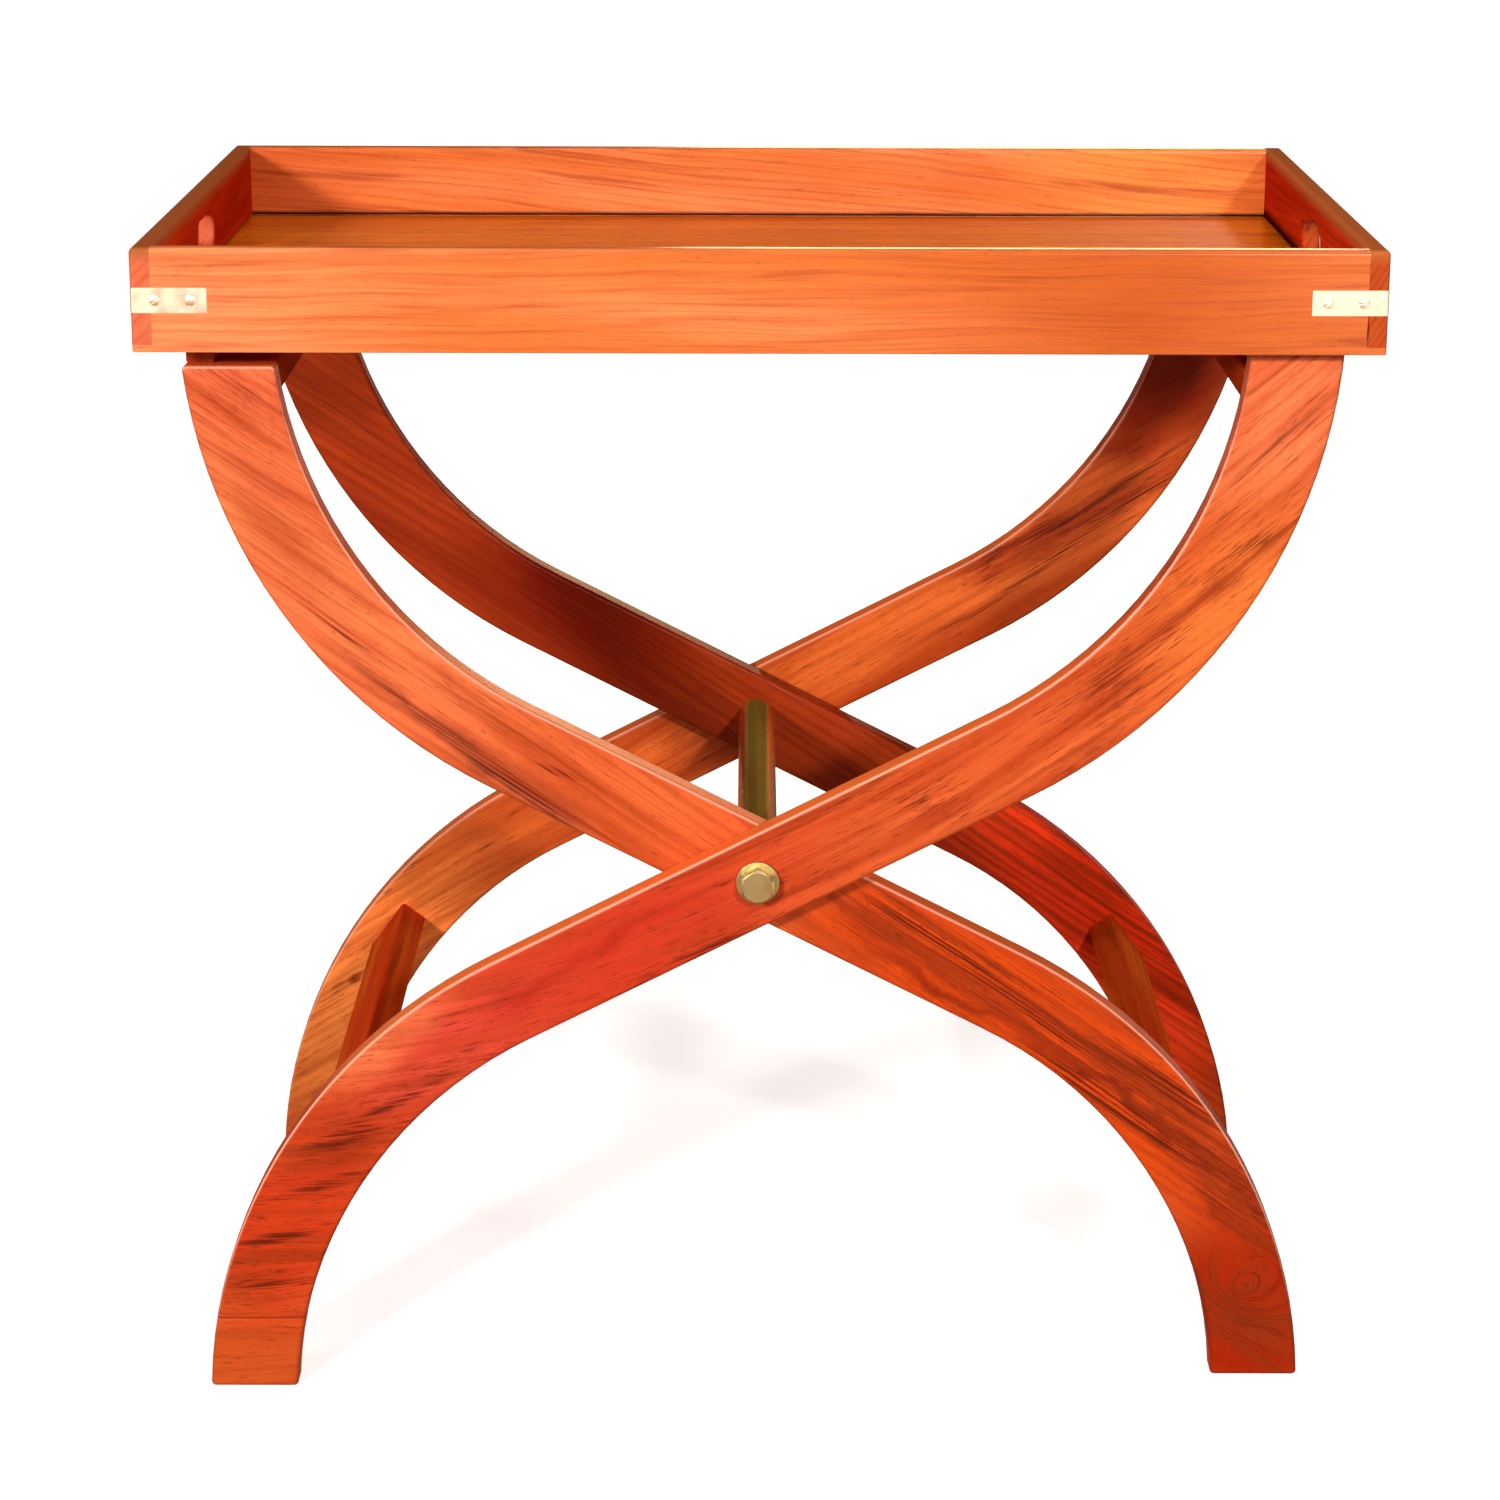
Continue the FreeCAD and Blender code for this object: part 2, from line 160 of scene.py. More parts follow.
class TrayTableStage(bpy.types.PropertyGroup):
    """Camera, lamps and floor."""

    lens: bpy.props.FloatProperty(name="Lens", description="Focal length on a 36 mm sensor",
                                  subtype="DISTANCE_CAMERA", default=93.59)
    pitch: angle_property("Pitch", "Camera angle below the horizon", 15.736)
    yaw: angle_property("Yaw", "Camera angle towards the right", 0.034)
    roll: angle_property("Roll", "Camera turn about its line of sight", 0.15)
    place: bpy.props.FloatVectorProperty(name="Camera place", description="Where the camera stands",
                                         subtype="TRANSLATION", unit="LENGTH", size=3,
                                         default=(-0.0063, -2.5246, 1.0776))
    key_power: power_property("Left lamp", "Power of the main lamp", 165.0)
    side_power: power_property("Right lamp", "Power of the small lamp near the camera", 30.0)
    top_power: power_property("Top lamp", "Power of the lamp overhead", 11.0)
    window_power: power_property("Window", "Power of the pale window behind the table", 10.0)
    fill_power: power_property("Back fill", "Power of each soft lamp behind the table", 30.0)
    ambient: share_property("Ambient", "Strength of the light from all round", 0.08)
    window_tint: colour_property("Window tint", "Colour of the window's light", "#ffcf9e")
    room: colour_property("Room", "Colour of the room above the floor in reflections", "#6e4a36")
    floor_mirrored: colour_property("Mirrored floor", "Colour of the floor in reflections", "#ecb59e")
    floor_shade: share_property("Floor shade", "Share of light the floor throws back", 0.4)


# Nodes


def add(tree, kind, *values, sockets=None, **settings):
    """Adds a node, applies its settings and fills its open inputs in order, and others by name."""
    made = tree.nodes.new(kind)
    for name, value in settings.items():
        setattr(made, name, value)
    open_inputs = [socket for socket in made.inputs if socket.enabled]
    filled = list(zip(open_inputs, values)) + [(made.inputs[n], v) for n, v in (sockets or {}).items()]
    for socket, value in filled:
        if isinstance(value, bpy.types.Node):
            value = next(output for output in value.outputs if output.enabled)
        if isinstance(value, bpy.types.NodeSocket):
            tree.links.new(value, socket)
        else:
            socket.default_value = value
    return made


def opaque(colour):
    """Colour with a full alpha channel."""
    return (*colour[:3], 1.0)


def dimmed(colour, shares):
    """Colour with each channel brought down to its share."""
    return [channel * share for channel, share in zip(colour, shares)]


def per_metre(millimetres):
    """Scale of a pattern that repeats over these millimetres."""
    return 1 / (millimetres * MILLIMETRE)


def new_material(name):
    """Empty node material and its tree."""
    material = bpy.data.materials.new(name)
    material.use_nodes = True
    material.node_tree.nodes.clear()
    return material, material.node_tree


def between(tree, value, low, high, top=1.0, base=0.0):
    """Smooth step from the base at low to the top at high."""
    return add(tree, "ShaderNodeMapRange", value, low, high, base, top, interpolation_type="SMOOTHSTEP")


def tint(tree, share, below, colour):
    """Lays a colour over what lies below it by this share."""
    return add(tree, "ShaderNodeMix", share, below, opaque(colour), data_type="RGBA")


# Figure of the wood

# Each kind is noise of a size in millimetres along, across and through the grain. It shows from the start
# level of that noise, is whole at the full level, and the plank's marks gather it by raising the noise.
Figure = namedtuple("Figure", "size_mm seed detail start full gather", defaults=(0.0, 1.0, 0.0))
BANDS = Figure((380, 26, 40), 3.1, 3.0, 0.34, 0.66)
MOTTLE = Figure((60, 18, 18), 14.2, 5.0, 0.42, 0.72)
STREAKS = Figure((150, 8, 14), 17.6, 4.0, 0.58, 0.8, 0.24)
LINES = Figure((90, 1.6, 3), 5.7, 3.0, 0.42, 0.72)
DASHES = Figure((18, 1.6, 2.5), 8.3, 2.0, 0.63, 0.76, 0.15)
PORES = Figure((7, 0.9, 0.9), 11.9, 1.5, 0.65, 0.73, 0.12)
RIPPLE = Figure((70, 24, 24), 23.8, 2.0)
WANDER = Figure((260, 70, 90), 0.0, 2.0)

# Marks on a plank's face follow noise of this size, soft ones by more, and thin threads and painted shade by
# less
LOOSE_MM = 35.7
SOFT_REACH_MM = (30, 20, 0)
FINE_REACH_MM = (6, 6, 0)

# A glued splice is this sharp, and its wood comes from this far along the grain
SPLICE_BLUR_MM = 0.2
SPLICE_SHIFT_MM = 1700

# Colours of figure as shares of the plank's deeper colour
MOTTLE_SHARES = (0.85, 0.75, 0.7)
RING_SHARES = (0.72, 0.52, 0.5)

# How far the bands crowd the growth rings, and how much marks strengthen them
RING_CROWDING = 3.0
RING_GATHER = 0.2

# Strength of the smudges round streaks and of thin threads (also painted hole shade), and the sum of ovals at
# which a tone is whole; some tones are painted light and painted shade
SMUDGE_STRENGTH = 0.75
THREAD_AND_SHADE_STRENGTH = 0.8
TONE_AND_PAINTED_LIGHT_FULL = 0.7


def spots(tree, flat, marks, start=0.0):
    """Sum of soft ovals on the plank's face, each a cone that falls from its strength to nothing.

    A mark gives the oval's middle, length and width in millimetres, its turn in degrees and its strength.
    """
    total = start
    for along, across, length, width, turn, strength in marks:
        local = add(tree, "ShaderNodeMapping", sockets={
            "Vector": flat, "Location": (along * MILLIMETRE, across * MILLIMETRE, 0.0),
            "Rotation": (0.0, 0.0, math.radians(turn)),
            "Scale": (length * MILLIMETRE / 2, width * MILLIMETRE / 2, 1.0)}, vector_type="TEXTURE")
        oval = add(tree, "ShaderNodeTexGradient", local, gradient_type="SPHERICAL")
        total = add(tree, "ShaderNodeMath", oval.outputs["Fac"], strength, total, operation="MULTIPLY_ADD")
    return total


def figure_noise(tree, place, kind, seed):
    """Noise whose blotches measure the kind's millimetres along, across and through the grain."""
    scaled = [add(tree, "ShaderNodeMath", axis, per_metre(length), seed + kind.seed, operation="MULTIPLY_ADD")
              for axis, length in zip(place, kind.size_mm)]
    vector = add(tree, "ShaderNodeCombineXYZ", *scaled)
    return add(tree, "ShaderNodeTexNoise", sockets={"Vector": vector, "Scale": 1.0, "Detail": kind.detail})


def figure_share(tree, kind, noise, density, strength):
    """Share of a kind of figure: nothing at its start level and the strength at its full one."""
    if kind.gather:
        noise = add(tree, "ShaderNodeMath", density, kind.gather, noise, operation="MULTIPLY_ADD")
    return between(tree, noise, kind.start, kind.full, strength)


def grain_coordinates(tree, grain):
    """Place in the plank: u along the grain, v across it on the plank's face, w through the plank.

    The grain lines are the curves v = slope * u + bend * u * u + tilt * w. A knot lifts them in a round
    hill, and noise lets them wander. Below a glued splice the grain is that of another piece of wood. Also
    gives the height on the plank's face, and the face as two flat vectors, one that strays for soft marks
    and one that strays less for thin threads and painted shade.
    """
    split = add(tree, "ShaderNodeSeparateXYZ", add(tree, "ShaderNodeTexCoord").outputs["Object"])
    u, face, w = (split.outputs["xyz".index(axis)] for axis in grain["axes"])
    flat = add(tree, "ShaderNodeCombineXYZ", u, face, 0.0)
    loose = add(tree, "ShaderNodeTexNoise", sockets={
        "Vector": flat, "Scale": per_metre(LOOSE_MM), "Detail": 3.0})
    centred = add(tree, "ShaderNodeVectorMath", loose.outputs["Color"], (0.5, 0.5, 0.5),
                  operation="SUBTRACT")
    reaches = [[length * MILLIMETRE for length in reach] for reach in (SOFT_REACH_MM, FINE_REACH_MM)]
    soft, fine = (add(tree, "ShaderNodeVectorMath", centred, reach, flat, operation="MULTIPLY_ADD")
                  for reach in reaches)
    v = add(tree, "ShaderNodeMath", face, grain["rise"], operation="SUBTRACT")
    v = add(tree, "ShaderNodeMath", u, -grain["slope"], v, operation="MULTIPLY_ADD")
    v = add(tree, "ShaderNodeMath", w, -grain["tilt"], v, operation="MULTIPLY_ADD")
    square = add(tree, "ShaderNodeMath", u, u, operation="MULTIPLY")
    v = add(tree, "ShaderNodeMath", square, -grain["bend"], v, operation="MULTIPLY_ADD")
    v = spots(tree, flat, grain["knots"], v)
    if "splice" in grain:
        cut = grain["splice"] * MILLIMETRE
        blur = SPLICE_BLUR_MM * MILLIMETRE
        shift = SPLICE_SHIFT_MM * MILLIMETRE
        other = add(tree, "ShaderNodeMapRange", face, cut + blur, cut - blur, 0.0, shift)
        u = add(tree, "ShaderNodeMath", u, other, operation="ADD")
    wander = figure_noise(tree, (u, v, w), WANDER, grain["seed"])
    offset = add(tree, "ShaderNodeMath", wander, 0.5, operation="SUBTRACT")
    v = add(tree, "ShaderNodeMath", offset, grain["wander"], v, operation="MULTIPLY_ADD")
    return (u, v, w), face, soft, fine


def growth_rings(tree, v, bands, mottle, density, grain):
    """Share of late wood: the fraction of v over the ring's width, darkening slowly, then ending.

    The bands crowd the rings, the mottle fades them in places, and marks strengthen them.
    """
    phase = add(tree, "ShaderNodeMath", v, per_metre(grain["ring_mm"]), operation="MULTIPLY")
    phase = add(tree, "ShaderNodeMath", bands, RING_CROWDING, phase, operation="MULTIPLY_ADD")
    fraction = add(tree, "ShaderNodeMath", phase, operation="FRACT")
    late = add(tree, "ShaderNodeMath", between(tree, fraction, 0.35, 0.82),
               between(tree, fraction, 0.84, 1.0), operation="SUBTRACT")
    strength = between(tree, mottle, 0.2, 0.5, grain["rings"])
    strength = add(tree, "ShaderNodeMath", density, RING_GATHER, strength, operation="MULTIPLY_ADD")
    return add(tree, "ShaderNodeMath", late, strength, operation="MULTIPLY", use_clamp=True)


def end_grain_share(tree, grain):
    """How squarely the surface cuts across the grain: the size of its normal along the grain's direction."""
    direction = Vector((0.0, 0.0, 0.0))
    direction["xyz".index(grain["axes"][0])] = 1.0
    direction["xyz".index(grain["axes"][1])] = grain["slope"]
    direction.normalize()
    normal = add(tree, "ShaderNodeTexCoord").outputs["Normal"]
    along = add(tree, "ShaderNodeVectorMath", normal, direction, operation="DOT_PRODUCT")
    size = add(tree, "ShaderNodeMath", along.outputs["Value"], operation="ABSOLUTE")
    return between(tree, size, 0.55, 0.95, grain["end"])


def eye_rings(tree, eye):
    """A thin ring and a dot in each small eye: its cone, folded to and fro, is dark at each fold's foot."""
    folded = add(tree, "ShaderNodeMath", eye, 2.0, operation="MULTIPLY")
    folded = add(tree, "ShaderNodeMath", folded, 0.5, operation="PINGPONG")
    return add(tree, "ShaderNodeMath", between(tree, folded, 0.25, 0.02, 0.55),
               between(tree, eye, 0.05, 0.3), operation="MULTIPLY")


def upper_edges(tree, share):
    """Shares of a leg's upper sides and of the rounded arrises beside them, from the surface's normal: where
    painted light and a painted highlight go.

    An upper side faces up and neither forwards nor back. An arris leans from it towards the leg's face.
    """
    normal = add(tree, "ShaderNodeSeparateXYZ", add(tree, "ShaderNodeTexCoord").outputs["Normal"])
    facing = add(tree, "ShaderNodeMath", normal.outputs["Y"], operation="ABSOLUTE")
    side = add(tree, "ShaderNodeMath", between(tree, facing, 0.5, 0.2, share),
               between(tree, normal.outputs["Z"], 0.55, 0.85), operation="MULTIPLY")
    rounded = add(tree, "ShaderNodeMath", between(tree, facing, 0.3, 0.55, share),
                  between(tree, facing, 0.95, 0.75), operation="MULTIPLY")
    arris = add(tree, "ShaderNodeMath", rounded, between(tree, normal.outputs["Z"], 0.05, 0.35),
                operation="MULTIPLY")
    return side, arris


def seam_and_painted_line_share(tree, face, w, height, half, strength, hidden, shown):
    """Share of a line at one height of the face, with soft edges, that shows on one side of the plank."""
    off = add(tree, "ShaderNodeMath", face, height * MILLIMETRE, operation="SUBTRACT")
    off = add(tree, "ShaderNodeMath", off, operation="ABSOLUTE")
    line = add(tree, "ShaderNodeMapRange", off, half * MILLIMETRE / 4, half * MILLIMETRE, strength, 0.0)
    side = between(tree, w, hidden * MILLIMETRE, shown * MILLIMETRE)
    return add(tree, "ShaderNodeMath", line, side, operation="MULTIPLY")


def varnish(tree, colour, lines, ripple, gloss):
    """Thin smooth coat over the colour, which sinks a little with the fibres and the planed ripple."""
    fibre_share = 0.05
    smooth = 0.2
    rough = 0.3
    height = add(tree, "ShaderNodeMath", lines, fibre_share, ripple, operation="MULTIPLY_ADD")
    bump = add(tree, "ShaderNodeBump", sockets={
        "Strength": 0.2, "Distance": 0.6 * MILLIMETRE, "Height": height})
    roughness = add(tree, "ShaderNodeMapRange", lines, 0.3, 0.7, smooth, rough)
    return add(tree, "ShaderNodeBsdfPrincipled", sockets={
        "Base Color": colour, "Roughness": roughness, "Specular IOR Level": gloss, "Normal": bump})


def varnished_wood(name, light, deep, grain):
    """Reddish hardwood, planed, stained and varnished.

    The eye sees soft bands and rings of early and late wood, fine fibre lines, short dark pores, and dark
    dashes, streaks and threads that gather where the plank is marked; on the end boards a few threads are
    painted shade in the hand-holes, and some tones are painted light and painted shade. Sawn ends are darker
    and may show small eyes, a seam is a thin line and some such lines are painted shade along a board's foot
    and painted light along a top edge, a leg's upper sides get painted light and its upper arrises a painted
    highlight, and a smooth coat gives a slight gloss.
    """
    finish = bpy.context.scene.tray_table_finish
    material, tree = new_material(name)
    place, face, soft, fine = grain_coordinates(tree, grain)
    dash = DASHES._replace(size_mm=(grain["dash_mm"], *DASHES.size_mm[1:]))
    bands, mottle, streaks, lines, dashes, pores, ripple = (
        figure_noise(tree, place, kind, grain["seed"])
        for kind in (BANDS, MOTTLE, STREAKS, LINES, dash, PORES, RIPPLE))
    density = spots(tree, soft, grain["marks"], grain["figure"])

    colour = tint(tree, figure_share(tree, BANDS, bands, density, 1.0), opaque(light), deep)
    # Tones: broad colour of the wood, and in places painted light and painted shade
    for hex_colour, marks in grain["tones_and_painted_light"]:
        tone = between(tree, spots(tree, soft, marks), 0.0, TONE_AND_PAINTED_LIGHT_FULL)
        colour = tint(tree, tone, colour, linear(hex_colour))
    sawn = linear(grain["sawn"]) if "sawn" in grain else finish.sawn
    colour = tint(tree, end_grain_share(tree, grain), colour, sawn)
    blotches = figure_share(tree, MOTTLE, mottle, density, grain["mottle"])
    colour = tint(tree, blotches, colour, dimmed(deep, MOTTLE_SHARES))
    rings = growth_rings(tree, place[1], bands, mottle, density, grain)
    colour = tint(tree, rings, colour, dimmed(deep, RING_SHARES))
    colour = tint(tree, figure_share(tree, LINES, lines, density, grain["lines"]), colour, finish.fibre)
    smudges = figure_share(tree, STREAKS, streaks, density, SMUDGE_STRENGTH)
    colour = tint(tree, smudges, colour, finish.smudge)
    colour = tint(tree, figure_share(tree, dash, dashes, density, grain["dashes"]), colour, finish.streak)
    if grain["eyes"]:
        colour = tint(tree, eye_rings(tree, spots(tree, fine, grain["eyes"])), colour, finish.streak)
    # Thin dark threads, and on the end boards painted shade inside the hand-holes
    if grain["threads_and_painted_shade"]:
        threads_and_painted_shade = between(tree, spots(tree, fine, grain["threads_and_painted_shade"]), 0.05, 0.6, THREAD_AND_SHADE_STRENGTH)
        threads_and_shade_strands = add(tree, "ShaderNodeMath", threads_and_painted_shade, between(tree, lines, 0.42, 0.56), operation="MULTIPLY")
        colour = tint(tree, threads_and_shade_strands, colour, finish.streak)
    colour = tint(tree, figure_share(tree, PORES, pores, density, grain["pores"]), colour, finish.pore)
    # Painted light on the legs' upper sides, and a painted highlight along their upper arrises
    if grain["painted_arris_highlight"]:
        side, arris = upper_edges(tree, grain["painted_arris_highlight"])
        colour = tint(tree, arris, tint(tree, side, colour, finish.painted_top_light), finish.painted_arris_highlight)
    # Seams, and painted lines: shade along a board's foot and light along a top edge
    for *line_entry, hex_colour in grain["seams_and_painted_light"]:
        colour = tint(tree, seam_and_painted_line_share(tree, face, place[2], *line_entry), colour, linear(hex_colour))

    add(tree, "ShaderNodeOutputMaterial", varnish(tree, colour, lines, ripple, grain["gloss"]))
    return material


# Brass

# Size of the film's patches, and of scratches, drawn as coarse as they need to show
FILM_MM = 11.1
SCRATCH_MM = 0.625

# Colours of the film, and of the painted dim reflection on a top, as shares of the clean brass
FILM_SHARES = (0.72, 0.62, 0.45)
PAINTED_DIM_TOP_SHARES = (0.33, 0.28, 0.12)

# Shares of a piece's roughness where the film is thin and where it is thick
FILM_ROUGHNESS = (0.8, 1.3)

# How rough and worn each finish is, and how much dim reflection is painted on its top
BRIGHT = {"roughness": 0.38, "wear": 0.1}
AGED = {"roughness": 0.36, "wear": 0.5}
DRAWN = {"roughness": 0.3, "wear": 0.4, "painted_dim_top": 0.98}


def polished_brass(name, colour, roughness, wear, painted_dim_top=0.0):
    """Rolled or turned brass, polished and lightly aged: fine scratches and a thin patchy film.

    A piece with a painted dim top is matt and darker along its upper side: a painted dim reflection.
    """
    material, tree = new_material(name)
    where = add(tree, "ShaderNodeTexCoord")
    film, scratch = (add(tree, "ShaderNodeTexNoise", sockets={
        "Vector": where.outputs["Object"], "Scale": per_metre(size), "Detail": detail})
        for size, detail in ((FILM_MM, 4.0), (SCRATCH_MM, 2.0)))
    tone = tint(tree, between(tree, film, 0.4, 0.75, wear), opaque(colour), dimmed(colour, FILM_SHARES))
    rough = add(tree, "ShaderNodeMapRange", film, 0.3, 0.7, *(roughness * share for share in FILM_ROUGHNESS))
    bump = add(tree, "ShaderNodeBump", sockets={
        "Strength": 0.05, "Distance": 0.1 * MILLIMETRE, "Height": scratch})
    surface = {"Base Color": tone, "Metallic": 1.0, "Roughness": rough, "Normal": bump}
    # Painted reflection: the upper side is matt, darker and without shine, like a dim room mirrored there
    if painted_dim_top:
        normal = add(tree, "ShaderNodeSeparateXYZ", where.outputs["Normal"])
        dim_top_share = between(tree, normal.outputs["Z"], 0.7, 0.92, painted_dim_top)
        surface["Base Color"] = tint(tree, dim_top_share, tone, dimmed(colour, PAINTED_DIM_TOP_SHARES))
        surface["Metallic"] = add(tree, "ShaderNodeMath", 1.0, dim_top_share, operation="SUBTRACT")
        surface["Specular IOR Level"] = 0.0
    add(tree, "ShaderNodeOutputMaterial", add(tree, "ShaderNodeBsdfPrincipled", sockets=surface))
    return material


# Grain of each plank

# What a plank has where its own table says nothing. Rise, slope, bend, tilt and wander shape the grain
# lines, sizes in millimetres end in _mm, and mottle, rings, lines, dashes, pores, end and the painted arris
# highlight are strengths. Figure is the density of dark figure away from the marks. Marks, threads, knots
# and eyes are soft ovals (along, across, length, width, turn, strength), and a tone is a colour and its
# ovals; on the end boards some threads are painted shade, and some tones are painted light and shade. A
# seam gives its height, half width and strength, the places through the plank where it is hidden and
# where it shows, and its colour; some seams are painted lines, shade along a board's foot and light along
# a top edge.
PLAIN_GRAIN = {
    "rise": 0.0, "slope": 0.0, "bend": 0.0, "tilt": 0.4, "wander": 0.02, "ring_mm": 10, "dash_mm": 18,
    "mottle": 0.5, "rings": 0.3, "lines": 0.3, "dashes": 0.55, "pores": 0.5, "figure": 0.1, "end": 0.85,
    "painted_arris_highlight": 0.0, "gloss": 0.05, "tones_and_painted_light": (), "marks": (), "threads_and_painted_shade": (), "knots": (), "eyes": (),
    "seams_and_painted_light": (),
}
TRAY_GRAIN = {
    "tray_front_board": {
        "axes": "xzy", "seed": 1.7, "slope": 0.004, "wander": 0.018, "ring_mm": 11, "rings": 0.42,
        "lines": 0.38, "figure": 0.0, "pores": 0.3, "dashes": 0.15, "mottle": 0.2, "gloss": 0.2,
        "tones_and_painted_light": (
            ("#f78a54", ((-350, 700, 420, 300, 0, 0.7),)),
            ("#bd4e08", ((220, 700, 520, 300, 0, 0.62),))),
    },
    "tray_rear_board": {
        "axes": "xzy", "seed": 9.3, "slope": -0.095, "ring_mm": 6, "rings": 0.35, "lines": 0.35,
        "pores": 0.35, "dashes": 0.12, "mottle": 0.3, "gloss": 0.2,
        "tones_and_painted_light": (
            # Painted shadow over the left of the rear board, where the left end shades it, and painted light
            # at its right
            ("#d45a24", ((-420, 715, 420, 200, 0, 0.8),)),
            ("#f89040", ((270, 715, 260, 200, 0, 0.8),))),
        # Painted shade: a near-black line along the foot of the inner face, by the floor panel
        "seams_and_painted_light": ((693.4, 3.0, 1.0, 240, 237, "#1c0602"),),
    },
}
END_GRAIN = {
    "tray_left_end": {
        "axes": "yzx", "seed": 4.1, "slope": 0.02, "tilt": 1.1, "lines": 0.12, "mottle": 0.2, "figure": -0.4,
        "dashes": 0.0, "gloss": 0.0, "sawn": "#d9704a",
        "eyes": ((236, 731, 5, 5, 0, 1.0), (236, 712, 5, 5, 0, 1.0)),
        # Painted shade inside the hand-hole, and painted light along the top edge
        "threads_and_painted_shade": ((36, 702, 30, 18, 0, 0.35),),
        "seams_and_painted_light": ((741, 10, 0.9, -100, -300, "#a85a30"),),
    },
    "tray_right_end": {
        "axes": "yzx", "seed": 6.6, "slope": -0.03, "tilt": 1.7, "rings": 0.5, "ring_mm": 8, "lines": 0.12,
        "mottle": 0.2, "figure": -0.4, "dashes": 0.0, "gloss": 0.0, "sawn": "#b35022",
        # Painted shade inside the hand-hole, painted light along the top edge, and a painted shadow line
        # along the inner face's foot
        "threads_and_painted_shade": ((36, 716, 30, 16, 0, 0.9),),
        "seams_and_painted_light": ((741, 10, 0.9, 100, 300, "#b4602f"), (693.4, 10, 1.0, 359.2, 358.4, "#3a0602")),
    },
    "tray_left_batten": {"axes": "yxz", "seed": 15.8},
    "tray_right_batten": {"axes": "yxz", "seed": 18.2},
}
PANEL_GRAIN = {
    "tray_floor_panel": {
        "axes": "xyz", "seed": 12.5, "slope": 0.01, "ring_mm": 22, "rings": 0.35, "lines": 0.35, "pores": 0.3,
        "dashes": 0.15, "gloss": 0.3},
}
